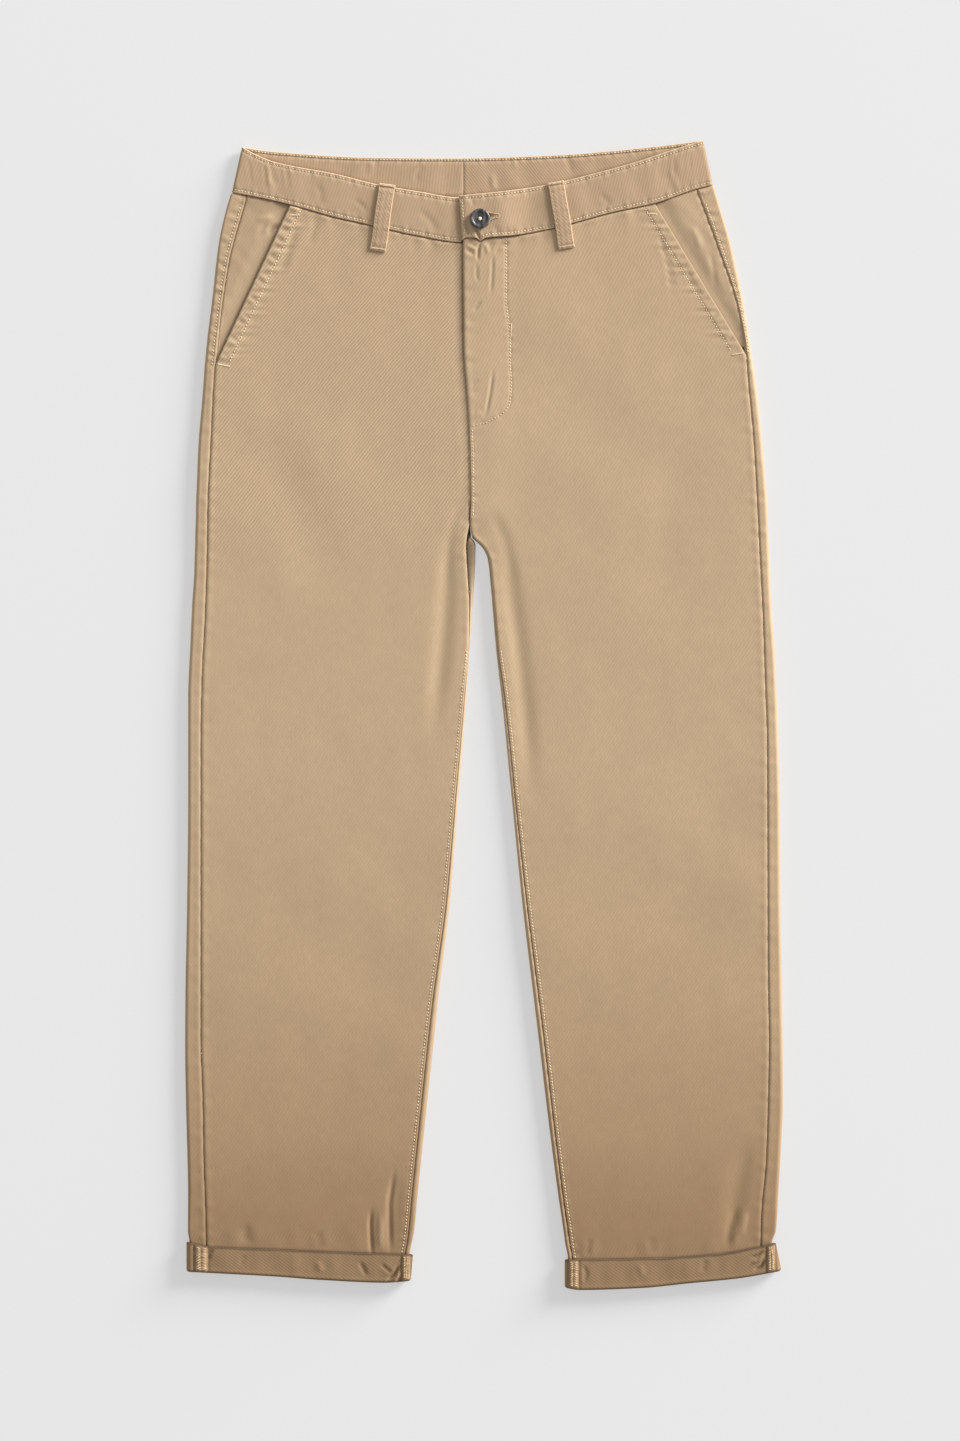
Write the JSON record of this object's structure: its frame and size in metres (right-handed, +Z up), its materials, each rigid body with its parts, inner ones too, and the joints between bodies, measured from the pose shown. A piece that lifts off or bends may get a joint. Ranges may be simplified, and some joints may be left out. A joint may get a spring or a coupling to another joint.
{
  "type": "chino trousers",
  "caption": "Chino trousers laid flat with the front up: slanted pockets, buttoned waistband with belt loops, wide legs with turned-up hems.",
  "frame": {"origin": "on the surface that the garment lies on, under the middle of its outline", "axes": "+Z up from that surface towards the garment's front, +Y from the hems to the waist, +X to the right as the front is seen"},
  "size_m": [0.5381, 1.0344, 0.0117],
  "materials": {
    "twill": "matt tan cotton twill",
    "band_twill": "matt tan cotton twill, stitched",
    "twill_reverse": "matt brown reverse side of the twill",
    "button": "dark marbled, satin"
  },
  "bodies": {
    "root": {"front_panel_right": "twill", "front_panel_left": "twill", "back_panel_right": "twill", "back_panel_left": "twill", "pocket_facing_right": "twill", "pocket_facing_left": "twill", "waistband_right": "band_twill", "waistband_left": "band_twill", "cuff_right": "twill_reverse", "cuff_left": "twill_reverse", "belt_loop_front_right": "band_twill", "belt_loop_front_left": "band_twill", "belt_loop_back_right": "band_twill", "belt_loop_back_centre": "band_twill", "belt_loop_back_left": "band_twill", "button": "button"}
  },
  "joints": []
}
